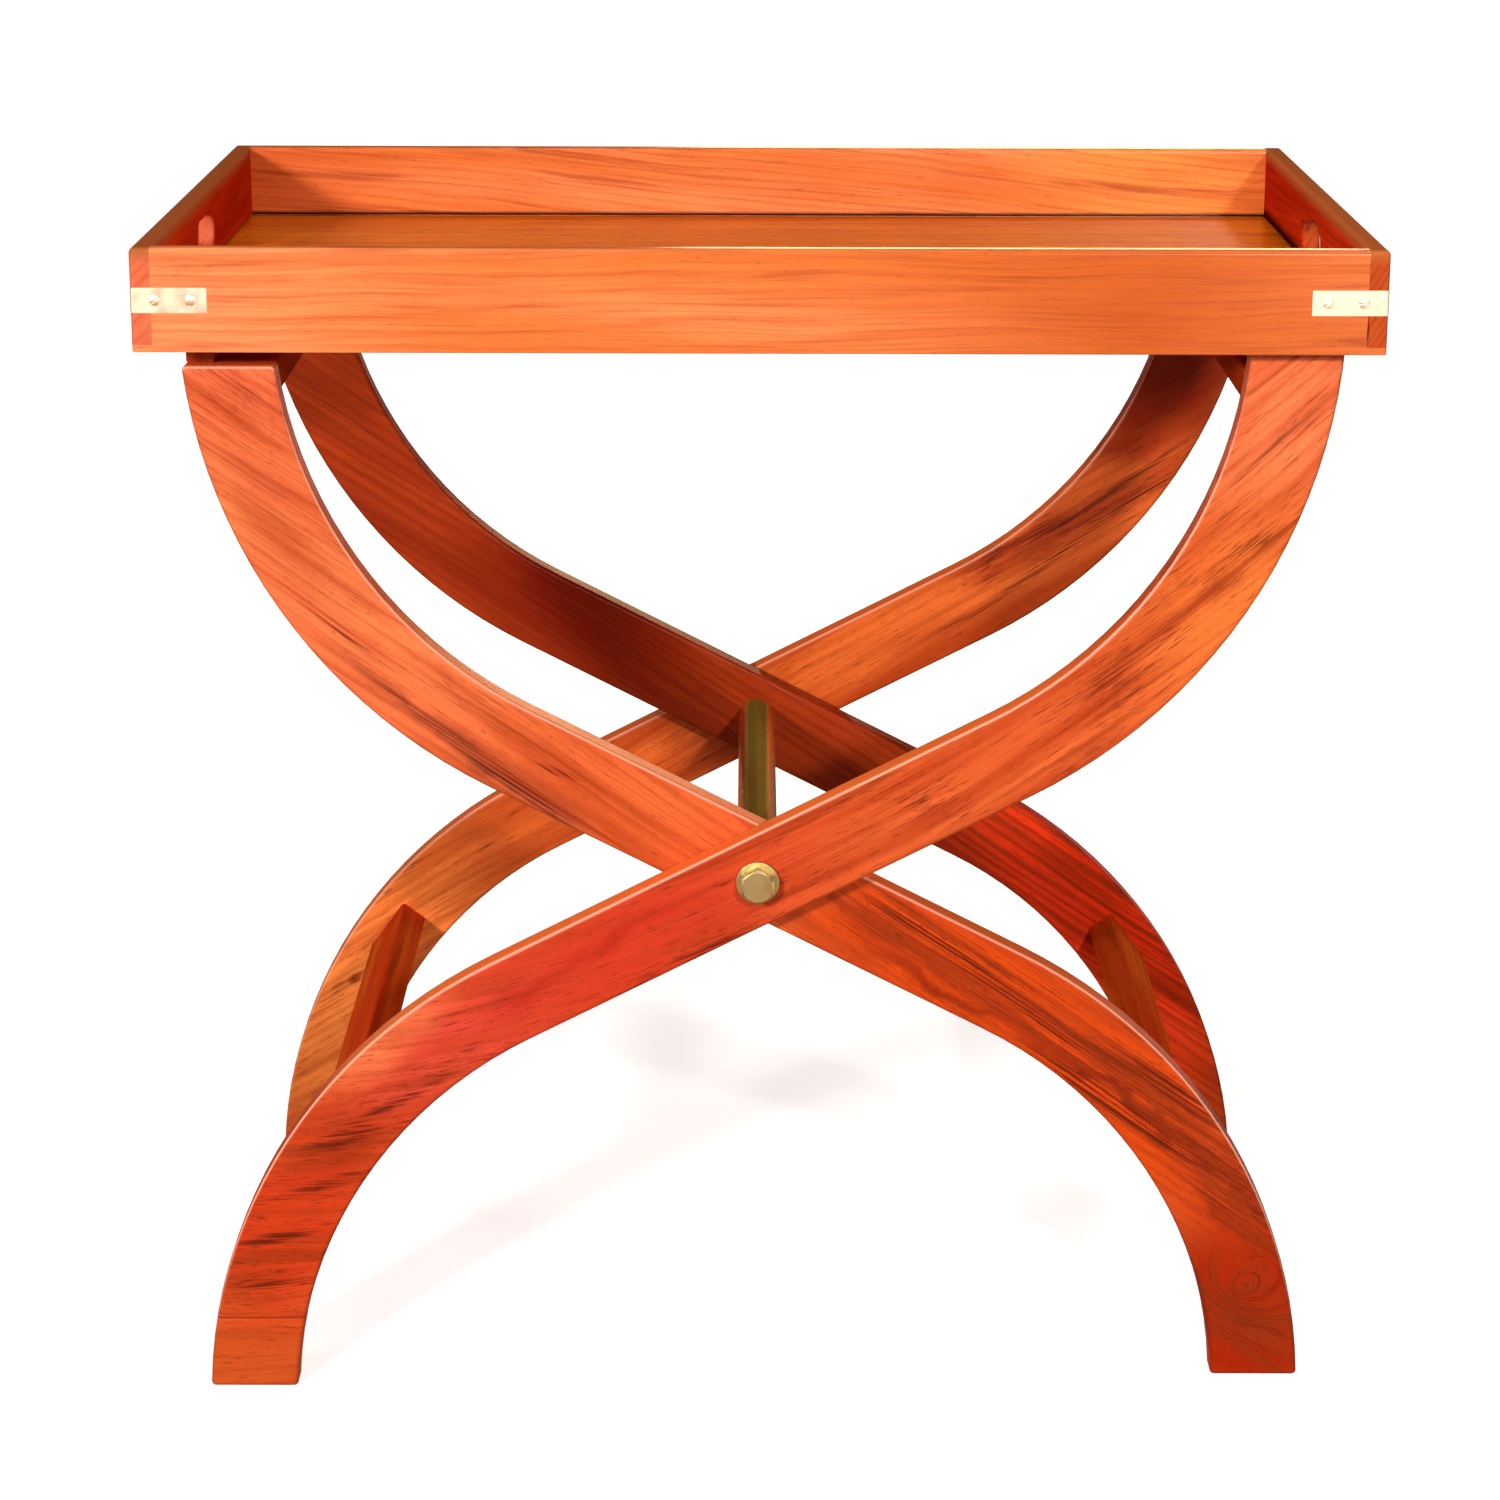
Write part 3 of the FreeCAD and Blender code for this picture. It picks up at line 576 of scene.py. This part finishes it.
FRONT_LEG_GRAIN = {
    "outer_front_leg": {
        "axes": "xzy", "seed": 2.4, "rise": PIVOT_HEIGHT, "slope": 0.466, "bend": 0.676, "splice": 48,
        "rings": 0.2, "lines": 0.25, "end": 0.5, "painted_arris_highlight": 0.8,
        "seams_and_painted_light": ((48, 0.8, 0.5, 0, -100, "#4a140b"),),
        "threads_and_painted_shade": (
            (306, 613, 170, 9, 44, 0.45), (295, 585, 120, 9, 42, 0.45), (303, 558, 70, 10, 33, 0.5),
            (-228, 195, 180, 10, 28, 0.6), (-259, 171, 90, 14, 22, 0.7), (-274, 140, 100, 12, 16, 0.6),
            (-308, 103, 80, 12, 12, 0.8), (-312, 70, 80, 12, 10, 0.7), (-42, 292, 200, 9, 30, 0.6)),
        "tones_and_painted_light": (
            ("#cb381f", ((-95, 292, 420, 150, 28, 0.9),)),
            ("#d94434", ((-200, 230, 260, 110, 35, 0.6),)),
            # Painted sheen: paler at the top of the leg, and in a patch low on its left
            ("#f27848", ((319, 634, 190, 150, 60, 0.9), (-235, 235, 150, 50, 38, 0.6))),
            ("#e67030", ((290, 520, 240, 150, 45, 0.8),)),
            ("#c9501f", ((-315, 20, 140, 80, 0, 1.2),)),
            ("#cc3a16", ((-311, 85, 170, 150, 0, 0.8), (-265, 152, 210, 130, 14, 0.6))),
            ("#a81c10", ((-89, 304, 240, 16, 28, 0.4), (-152, 263, 90, 30, 28, 0.35),
                         (-268, 158, 120, 60, 18, 0.4)))),
        "marks": (
            (308, 611, 190, 40, 41, 0.2), (294, 562, 100, 70, 41, 0.25), (277, 535, 40, 60, 70, 0.4),
            (306, 559, 90, 30, 35, 0.3), (246, 536, 80, 40, 45, 0.4), (228, 486, 150, 70, 42, 0.5),
            (212, 467, 80, 50, 40, 0.4), (210, 428, 120, 24, 38, 0.5), (93, 394, 40, 66, 75, 0.6),
            (118, 388, 50, 66, 60, 0.5), (-42, 297, 240, 18, 30, 0.6), (-207, 211, 200, 30, 22, 0.5),
            (-255, 169, 160, 44, 16, 0.5), (-274, 135, 150, 36, 14, 0.4), (-311, 81, 180, 110, 4, 0.35)),
    },
    "inner_front_leg": {
        "axes": "xzy", "seed": 7.9, "rise": PIVOT_HEIGHT, "slope": -0.68, "rings": 0.25, "ring_mm": 11,
        "dashes": 0.4, "dash_mm": 45, "end": 0.5, "painted_arris_highlight": 0.75,
        "knots": ((312.5, 59.7, 72, 54, -25, 0.045),),
        "threads_and_painted_shade": (
            (-125, 407, 44, 7, -22, 0.8), (-201, 437, 240, 12, -38.5, 0.45), (-140, 390, 160, 22, -36, 0.4),
            (-250, 490, 130, 8, -40, 0.6), (272, 191, 180, 16, -35, 1.0), (113, 295, 140, 16, -33, 1.0),
            (230, 185, 200, 16, -36, 1.0), (180, 245, 160, 14, -34, 0.9)),
        "tones_and_painted_light": (
            # Painted sheen: paler and pinker at the top of the leg
            ("#ee6c48", ((-317, 640, 170, 170, -40, 0.9),)),
            ("#ea7040", ((-265, 530, 460, 320, -42, 1.0),)),
            ("#fa8a50", ((-300, 560, 240, 60, -38, 0.5), (-205, 480, 240, 40, -38, 0.3))),
            ("#cc5c34", ((-309, 594, 130, 50, -40, 0.6), (-281, 539, 150, 40, -38, 0.6))),
            ("#a84a2c", ((-201, 437, 240, 16, -38.5, 0.6), (-138, 386, 150, 40, -36, 0.6))),
            ("#a82404", ((323, 50, 260, 240, -60, 1.0),)),
            ("#d8460c", ((230, 190, 340, 150, -38, 0.9), (95, 290, 260, 120, -30, 0.8))),
            ("#7e1f08", ((205, 213, 300, 13, -35, 0.6), (285, 150, 240, 14, -39, 0.5),
                         (120, 262, 260, 12, -33, 0.6), (170, 252, 200, 14, -34, 0.4),
                         (250, 205, 200, 14, -36, 0.45), (305, 110, 150, 16, -44, 0.4),
                         (80, 300, 160, 16, -31, 0.4), (313, 60, 26, 18, -25, 0.5)))),
        "marks": (
            (-317, 640, 100, 70, -35, 0.4), (-138, 388, 170, 44, -36, 0.35), (95, 303, 160, 70, -38, 0.7),
            (148, 259, 120, 90, -30, 0.6), (233, 208, 200, 90, -36, 0.55), (264, 180, 280, 60, -38, 0.45),
            (330, 112, 150, 70, -48, 1.0), (285, 135, 130, 70, -42, 0.55), (314, 45, 120, 90, -25, 1.1)),
    },
}
DARK_GRAIN = {
    "inner_rear_leg": {
        "axes": "xzy", "seed": 13.3, "rise": PIVOT_HEIGHT, "slope": -0.66, "rings": 0.45, "ring_mm": 9,
        "lines": 0.4, "figure": 0.3, "end": 0.5, "dashes": 0.35, "dash_mm": 40,
        "tones_and_painted_light": (
            # Painted light low on the right, and painted shadow in the middle, where the front legs shade it
            ("#ff3c14", ((250, 190, 380, 220, -45, 1.0),)),
            ("#7c1003", ((-130, 425, 280, 150, -36, 0.8),))),
    },
    "outer_top_rail": {"axes": "yxz", "seed": 3.3, "gloss": 0.0},
    "inner_top_rail": {"axes": "yxz", "seed": 10.7, "gloss": 0.0},
    "outer_frame_dowels": {"axes": "yxz", "seed": 8.1},
    "inner_frame_dowels": {"axes": "yxz", "seed": 16.4},
}
STRETCHER_GRAIN = {
    node: {"axes": "yxz", "seed": seed, "gloss": 0.0, "dashes": 0.1, "mottle": 0.2, "lines": 0.15}
    for node, seed in (("outer_lower_stretcher", 5.2), ("inner_lower_stretcher", 14.6))
}
REAR_GRAIN = {
    "outer_rear_leg": {
        "axes": "xzy", "seed": 19.1, "rise": PIVOT_HEIGHT, "slope": 0.6, "rings": 0.25, "end": 0.5,
        "painted_arris_highlight": 0.6,
        "threads_and_painted_shade": (
            (264, 511, 160, 9, 36, 0.7), (193, 468, 100, 12, 26, 0.7), (270, 499, 110, 8, 34, 0.7),
            (208, 451, 130, 8, 36, 0.7), (152, 411, 90, 8, 30, 0.6), (168, 457, 20, 14, 36, 1.0)),
        "tones_and_painted_light": (
            # Painted shadow at the top of the leg under the tray, and painted light low on its left
            ("#8a1c06", ((280, 598, 190, 170, 60, 1.1),)),
            ("#ff8a40", ((-290, 120, 340, 240, 45, 1.0),)),
            ("#a63a1c", ((225, 480, 240, 40, 28, 0.6),)),
            ("#862208", ((263, 539, 120, 32, 24, 0.7),))),
        "marks": (
            (219, 478, 240, 34, 26, 0.4), (165, 450, 56, 44, 30, 0.5), (269, 509, 200, 24, 40, 0.4),
            (261, 540, 120, 34, 22, 0.4), (-313, 118, 170, 14, 42, 0.5), (-294, 136, 14, 9, 40, 1.0)),
    },
}


# Dressing the CAD nodes


def dress(node, material):
    """Gives a CAD node its finish."""
    slots = NODES[node].data.materials
    slots.clear()
    slots.append(material)


def dress_planks(grains, light, deep):
    """Gives each plank of a group wood of the group's two colours and of its own grain."""
    for node, grain in grains.items():
        dress(node, varnished_wood(node + "_wood", light, deep, {**PLAIN_GRAIN, **grain}))


class TRAYTABLE_OT_tray(bpy.types.Operator):
    """Dress the tray's boards, floor panel and battens"""

    bl_idname = "traytable.tray"
    bl_label = "Tray boards"

    def execute(self, context):
        finish = context.scene.tray_table_finish
        dress_planks(TRAY_GRAIN, finish.tray_light, finish.tray_deep)
        dress_planks(END_GRAIN, finish.end_light, finish.end_deep)
        dress_planks(PANEL_GRAIN, finish.panel_light, finish.panel_deep)
        return {"FINISHED"}


class TRAYTABLE_OT_stand(bpy.types.Operator):
    """Dress the S-curved legs, rails and stretchers"""

    bl_idname = "traytable.stand"
    bl_label = "Folding stand"

    def execute(self, context):
        finish = context.scene.tray_table_finish
        dress_planks(FRONT_LEG_GRAIN, finish.leg_light, finish.leg_deep)
        dress_planks(REAR_GRAIN, finish.rear_light, finish.rear_deep)
        dress_planks(STRETCHER_GRAIN, finish.stretcher_light, finish.stretcher_deep)
        dress_planks(DARK_GRAIN, finish.dark_light, finish.dark_deep)
        return {"FINISHED"}


class TRAYTABLE_OT_brass(bpy.types.Operator):
    """Dress the corner straps and the pivot"""

    bl_idname = "traytable.brass"
    bl_label = "Brass fittings"

    def execute(self, context):
        finish = context.scene.tray_table_finish
        bright = polished_brass("polished_brass", finish.brass_bright, **BRIGHT)
        aged = polished_brass("aged_brass", finish.brass_aged, **AGED)
        drawn = polished_brass("drawn_brass_tube", finish.brass_tube, **DRAWN)
        for node in (*STRAPS, "strap_screws", "batten_screws"):
            dress(node, bright)
        for node in ("pivot_bolt", "pivot_nut", "bolt_washers", "leg_washers"):
            dress(node, aged)
        dress("pivot_spacer_tube", drawn)
        return {"FINISHED"}


# Round-headed screws


def mesh_piece(name, points, faces, material):
    """New mesh object from an array of points and a list of face arrays, shaded smooth."""
    mesh = bpy.data.meshes.new(name)
    mesh.from_pydata(points.tolist(), [], [face for part in faces for face in part.tolist()])
    mesh.shade_smooth()
    mesh.materials.append(material)
    piece = bpy.data.objects.new(name, mesh)
    bpy.context.scene.collection.objects.link(piece)
    return piece


def screw_head(sizes, turns=56, rings=18):
    """One domed, slotted head about the z axis, closed at both poles.

    The profile runs out along the flat underside, round a small bevel, up the rim, and in over the dome,
    whose height is the dome times one minus the squared share of the radius. The slot lowers the dome where
    the distance from the slot's middle line is under half its width, with soft edges.
    """
    sunk = 1.0 * MILLIMETRE
    bevel = 0.1 * MILLIMETRE
    underside_share = 0.96
    slot_softness = 0.2
    first_dome_row = 2
    share = np.linspace(1.0, 1.0 / rings, rings)
    radius = np.concatenate(([underside_share, 1.0], share)) * sizes.radius
    height = np.concatenate(([-sunk, bevel - sunk], sizes.dome * (1 - share ** 2)))
    angle = np.linspace(0, 2 * np.pi, turns, endpoint=False)
    x = radius[:, None] * np.cos(angle)
    y = radius[:, None] * np.sin(angle)
    z = np.repeat(height[:, None], turns, axis=1)
    edge = np.clip((sizes.slot_width / 2 - np.abs(y)) / (slot_softness * sizes.slot_width) + 0.5, 0, 1)
    z[first_dome_row:] -= sizes.slot_depth * (edge * edge * (3 - 2 * edge))[first_dome_row:]
    body = np.stack([x, y, z], axis=-1).reshape(-1, 3)
    poles = np.array([[0, 0, -sunk], [0, 0, sizes.dome - sizes.slot_depth]])
    points = np.vstack([body, poles])
    count = len(radius)
    index = np.arange(count * turns).reshape(count, turns)
    after = np.roll(index, -1, axis=1)
    quads = np.stack([index[:-1], after[:-1], after[1:], index[1:]], axis=-1).reshape(-1, 4)
    low = np.stack([np.full(turns, count * turns), after[0], index[0]], axis=-1)
    high = np.stack([np.full(turns, count * turns + 1), index[-1], after[-1]], axis=-1)
    return points, (quads, low, high)


def screw_places():
    """Middle, outward direction and slot turn of each screw, on the outer faces of the four straps."""
    from_corner = (14.5 * MILLIMETRE, 35.5 * MILLIMETRE)
    first_turn = 0.7
    turn_step = 1.9
    end_turn = 0.8
    low, high = (np.array(corner) for corner in CAD_BOX)
    height = sum(corner.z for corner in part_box(STRAPS[0])) / 2
    places = []
    for side in (-1, 1):
        for end in (-1, 1):
            x_face = high[0] if side > 0 else low[0]
            y_face = high[1] if end > 0 else low[1]
            for number, reach in enumerate(from_corner):
                turn = first_turn + turn_step * len(places)
                on_board = (x_face - side * reach, y_face, height)
                on_end = (x_face, y_face - end * reach, height)
                places.append((on_board, Vector((0, end, 0)), turn))
                places.append((on_end, Vector((side, 0, 0)), turn + end_turn + number))
    return places


class TRAYTABLE_OT_screws(bpy.types.Operator):
    """Set the round-headed screws into the corner straps"""

    bl_idname = "traytable.screws"
    bl_label = "Strap screws"

    def execute(self, context):
        points, faces = screw_head(context.scene.tray_table_screws)
        heads = []
        parts = []
        for number, (spot, outward, turn) in enumerate(screw_places()):
            spin = Matrix.Rotation(turn, 3, outward)
            axes = np.array([spin @ UP.cross(outward), spin @ UP, outward])
            heads.append(points @ axes + np.array(spot))
            parts += [face + number * len(points) for face in faces]
        finish = context.scene.tray_table_finish
        material = polished_brass("screw_brass", finish.brass_bright, **BRIGHT)
        piece = mesh_piece("strap_screw_heads", np.vstack(heads), parts, material)
        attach(piece, "tray")
        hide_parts("strap_screws")
        return {"FINISHED"}


# Stage


def seen_directly(tree, path):
    """1 for rays from the camera or through a clear surface, and 0 for the others."""
    return add(tree, "ShaderNodeMath", path.outputs["Is Camera Ray"], path.outputs["Is Transmission Ray"],
               operation="MAXIMUM")


def lay_floor(stage):
    """Wide white floor that keeps the table's soft shadow and throws only part of the light back at it.

    Mirror rays see it pale in front of the table and dim behind, warm at the left, and white and twice as
    bright at the right and far left. Places and distances are in metres.
    """
    half = 30.0
    corners = np.array([(-half, -half, 0), (half, -half, 0), (half, half, 0), (-half, half, 0)])
    material, tree = new_material("white_paper_floor")
    place = add(tree, "ShaderNodeTexCoord").outputs["Object"]
    spot = add(tree, "ShaderNodeSeparateXYZ", place)
    path = add(tree, "ShaderNodeLightPath")
    away = add(tree, "ShaderNodeVectorMath", place, operation="LENGTH").outputs["Value"]
    glow = add(tree, "ShaderNodeEmission", opaque(WHITE), between(tree, away, 0.5, 4.0, top=0.95, base=0.6))
    paper = add(tree, "ShaderNodeBsdfDiffuse", (0.9, 0.9, 0.9, 1.0))
    shown = add(tree, "ShaderNodeAddShader", paper, glow)
    shade = add(tree, "ShaderNodeBsdfDiffuse", opaque((stage.floor_shade,) * 3))
    pale = add(tree, "ShaderNodeMath", between(tree, spot.outputs["X"], 0.1, 1.1),
               between(tree, spot.outputs["X"], -1.8, -3.0), operation="MAXIMUM")
    ahead = between(tree, spot.outputs["Y"], 0.5, -1.5, top=0.9, base=0.2)
    strength = add(tree, "ShaderNodeMath", pale, ahead, ahead, operation="MULTIPLY_ADD")
    colour = tint(tree, pale, opaque(stage.floor_mirrored), WHITE)
    mirrored = add(tree, "ShaderNodeEmission", colour, strength)
    unseen = add(tree, "ShaderNodeMixShader", path.outputs["Is Glossy Ray"], shade, mirrored)
    floor_shader = add(tree, "ShaderNodeMixShader", seen_directly(tree, path), unseen, shown)
    add(tree, "ShaderNodeOutputMaterial", floor_shader)
    mesh_piece("floor", corners, (np.array([[0, 1, 2, 3]]),), material)


def hang_lamps(scene, stage):
    """Six lamps aimed at the table's middle, none of them seen by the camera.

    In front are the main one at the left and a small one at the right, overhead a strip, and behind a warm
    window and two soft fills, which don't show in reflections. Places and sizes are in metres.
    """
    aim = Vector((0.0, 0.0, 0.45))
    lamps = (
        ("left_lamp", (-2.0, -4.0, 1.7), (0.42, 0.42), stage.key_power, WHITE, True),
        ("right_lamp", (0.75, -2.4, 1.3), (0.1, 0.1), stage.side_power, WHITE, True),
        ("strip_lamp", (0.17, -0.5, 2.3), (1.6, 0.2), stage.top_power, WHITE, True),
        ("window", (0.35, 2.5, 1.14), (0.9, 0.44), stage.window_power, stage.window_tint, True),
        ("left_fill", (-2.4, 2.4, 0.8), (1.0, 0.6), stage.fill_power, WHITE, False),
        ("right_fill", (2.4, 2.4, 0.8), (1.0, 0.6), stage.fill_power, WHITE, False),
    )
    for name, place, (width, depth), power, colour, mirrored in lamps:
        data = bpy.data.lights.new(name, "AREA")
        data.shape = "RECTANGLE"
        data.size = width
        data.size_y = depth
        data.energy = power
        data.color = colour
        lamp = bpy.data.objects.new(name, data)
        lamp.location = place
        lamp.visible_camera = False
        lamp.visible_glossy = mirrored
        lamp.rotation_euler = (aim - Vector(place)).to_track_quat("-Z", "Y").to_euler()
        scene.collection.objects.link(lamp)


def light_room(scene, stage):
    """Faint even light from all round, which the camera sees as white and mirror rays as a dim warm room."""
    world = bpy.data.worlds.new("studio")
    world.use_nodes = True
    tree = world.node_tree
    tree.nodes.clear()
    path = add(tree, "ShaderNodeLightPath")
    bright = add(tree, "ShaderNodeMath", seen_directly(tree, path), path.outputs["Is Glossy Ray"],
                 operation="MAXIMUM")
    strength = add(tree, "ShaderNodeMapRange", bright, 0.0, 1.0, stage.ambient, 1.0)
    colour = tint(tree, path.outputs["Is Glossy Ray"], opaque(WHITE), stage.room)
    add(tree, "ShaderNodeOutputWorld", add(tree, "ShaderNodeBackground", colour, strength))
    scene.world = world


def set_camera(scene, stage):
    """Camera in front of the table, looking down at it by the pitch and turned by yaw and roll."""
    level = math.cos(stage.pitch)
    forward = Vector((math.sin(stage.yaw) * level, math.cos(stage.yaw) * level, -math.sin(stage.pitch)))
    right = Vector((math.cos(stage.yaw), -math.sin(stage.yaw), 0.0))
    up = right.cross(forward)
    turned_right = right * math.cos(stage.roll) + up * math.sin(stage.roll)
    turned_up = up * math.cos(stage.roll) - right * math.sin(stage.roll)
    data = bpy.data.cameras.new("camera")
    data.lens = stage.lens
    camera = bpy.data.objects.new("camera", data)
    camera.matrix_world = Matrix((turned_right, turned_up, -forward)).transposed().to_4x4()
    camera.location = stage.place
    scene.collection.objects.link(camera)
    scene.camera = camera


class TRAYTABLE_OT_stage(bpy.types.Operator):
    """Lay the floor, hang the lamps and set the camera"""

    bl_idname = "traytable.stage"
    bl_label = "Stage"

    def execute(self, context):
        scene = context.scene
        stage = scene.tray_table_stage
        lay_floor(stage)
        hang_lamps(scene, stage)
        light_room(scene, stage)
        set_camera(scene, stage)
        scene.view_settings.view_transform = "Standard"
        return {"FINISHED"}


# Panel and registration


class TRAYTABLE_PT_panel(bpy.types.Panel):
    """Buttons and settings of the tray table"""

    bl_idname = "TRAYTABLE_PT_panel"
    bl_label = "Tray table"
    bl_space_type = "VIEW_3D"
    bl_region_type = "UI"
    bl_category = "Tray table"

    def draw(self, context):
        for operator in OPERATORS:
            self.layout.operator(operator.bl_idname)
        scene = context.scene
        for group in (scene.tray_table_finish, scene.tray_table_screws, scene.tray_table_stage):
            for name in group.__annotations__:
                self.layout.prop(group, name)


OPERATORS = (TRAYTABLE_OT_tray, TRAYTABLE_OT_stand, TRAYTABLE_OT_brass, TRAYTABLE_OT_screws,
             TRAYTABLE_OT_stage)
CLASSES = (TrayTableFinish, TrayTableScrews, TrayTableStage, *OPERATORS, TRAYTABLE_PT_panel)


def register():
    for cls in CLASSES:
        bpy.utils.register_class(cls)
    bpy.types.Scene.tray_table_finish = bpy.props.PointerProperty(type=TrayTableFinish)
    bpy.types.Scene.tray_table_screws = bpy.props.PointerProperty(type=TrayTableScrews)
    bpy.types.Scene.tray_table_stage = bpy.props.PointerProperty(type=TrayTableStage)


def unregister():
    del bpy.types.Scene.tray_table_stage
    del bpy.types.Scene.tray_table_screws
    del bpy.types.Scene.tray_table_finish
    for cls in reversed(CLASSES):
        bpy.utils.unregister_class(cls)


def main():
    """Registers the classes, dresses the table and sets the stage."""
    register()
    for operator in OPERATORS:
        group, name = operator.bl_idname.split(".")
        getattr(getattr(bpy.ops, group), name)()


if __name__ == "__main__":
    main()
